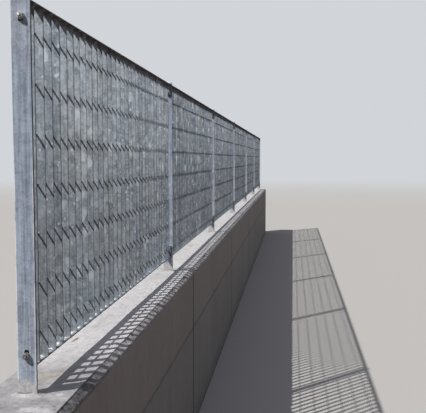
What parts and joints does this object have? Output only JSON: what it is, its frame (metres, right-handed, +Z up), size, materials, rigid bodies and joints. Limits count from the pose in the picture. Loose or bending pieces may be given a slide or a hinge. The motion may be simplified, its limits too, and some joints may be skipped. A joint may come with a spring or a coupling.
{
  "type": "steel grating fence on a low concrete wall",
  "caption": "Run of pressed steel grating panels bolted between galvanised flat-bar posts set in the chamfered top of a low cast concrete wall.",
  "frame": {"origin": "middle of the wall's length and thickness, on the ground", "axes": "+X along the fence, +Y to the fence's back, +Z up"},
  "size_m": [12.5, 0.25, 1.895],
  "materials": {
    "concrete": "cast concrete, form-smooth faces and trowelled top",
    "mortar": "trowelled cement mortar",
    "galvanised_post": "hot-dip galvanised, weathered matt",
    "galvanised_grating": "hot-dip galvanised, weathered, spangled"
  },
  "bodies": {
    "root": {"wall_section_1": "concrete", "wall_section_2": "concrete", "wall_section_3": "concrete", "wall_section_4": "concrete", "wall_section_5": "concrete", "post_1": "galvanised_post", "post_2": "galvanised_post", "post_3": "galvanised_post", "post_4": "galvanised_post", "post_5": "galvanised_post", "post_6": "galvanised_post", "post_7": "galvanised_post", "post_mortar_1": "mortar", "post_mortar_2": "mortar", "post_mortar_3": "mortar", "post_mortar_4": "mortar", "post_mortar_5": "mortar", "post_mortar_6": "mortar", "post_mortar_7": "mortar", "panel_1": "galvanised_grating", "panel_2": "galvanised_grating", "panel_3": "galvanised_grating", "panel_4": "galvanised_grating", "panel_5": "galvanised_grating", "panel_6": "galvanised_grating"}
  },
  "joints": []
}
